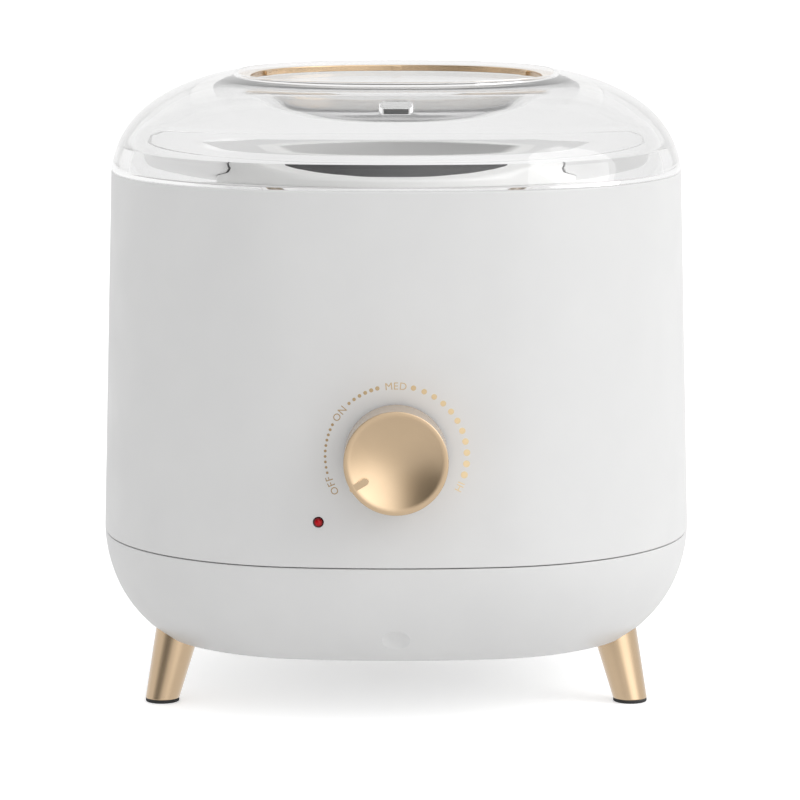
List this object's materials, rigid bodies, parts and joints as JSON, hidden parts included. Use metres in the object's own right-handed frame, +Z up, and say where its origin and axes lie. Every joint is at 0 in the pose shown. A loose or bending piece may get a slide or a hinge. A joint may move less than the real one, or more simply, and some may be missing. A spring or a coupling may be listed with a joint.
{
  "type": "wax warmer",
  "caption": "Counter-top wax warmer: rounded-square housing on splayed legs, lift-out pot in a heated well, clear domed lid and a turning control knob.",
  "frame": {"origin": "centre of the footprint, knob and cord inlet included, on the surface it stands on", "axes": "+Z up, knob at -Y, cord inlet at +Y, +X to the right seen from the front"},
  "size_m": [0.1802, 0.1962, 0.188],
  "materials": {
    "clear_lid": "clear moulded plastic",
    "gold": "satin gold",
    "white_shell": "satin white",
    "steel": "zinc plated",
    "rubber": "matt",
    "pot_coating": "dark non-stick coating",
    "aluminium": "pressed",
    "heater": "mica band",
    "fibre": "glass fibre",
    "dark_plastic": "moulded",
    "red_lens": "clear red",
    "board": "circuit board",
    "wire": "silicone insulation"
  },
  "bodies": {
    "housing": {"upper_housing": "white_shell", "lower_shell": "white_shell", "housing_screws": "steel", "leg_front_left": "gold", "leg_front_right": "gold", "leg_rear": "gold", "leg_pad_front_left": "rubber", "leg_pad_front_right": "rubber", "leg_pad_rear": "rubber", "leg_screws": "steel", "heater_well": "aluminium", "heater_band": "heater", "band_strap": "steel", "strap_screw": "steel", "insulation_sleeve": "fibre", "retaining_ring": "steel", "heat_reflector": "aluminium", "ring_screws": "steel", "thermal_fuse": "steel", "fuse_clip": "steel", "thermostat_body": "dark_plastic", "thermostat_bracket": "steel", "thermostat_nut": "steel", "bracket_screws": "steel", "indicator_lens": "red_lens", "indicator_holder": "dark_plastic", "lamp_board": "board", "cord_gland": "dark_plastic", "gland_nut": "dark_plastic", "terminal_block": "dark_plastic", "terminal_screws": "steel", "lead_wires": "wire"},
    "pot": {"wax_pot": "pot_coating"},
    "lid": {"lid_dome": "clear_lid", "lid_trim_ring": "gold"},
    "knob": {"knob_shell": "gold", "knob_hub": "dark_plastic", "thermostat_shaft": "steel"}
  },
  "joints": [
    {"name": "knob_turn", "type": "hinge", "parent": "housing", "child": "knob", "pos_m": [0, 0.00615, 0.0831], "axis": [0, 1, 0], "range_deg": [0, 235]},
    {"name": "pot_lift", "type": "slide", "parent": "housing", "child": "pot", "axis": [0, 0, 1], "range_m": [0, 0.09]},
    {"name": "lid_lift", "type": "slide", "parent": "pot", "child": "lid", "axis": [0, 0, 1], "range_m": [0, 0.06]}
  ]
}
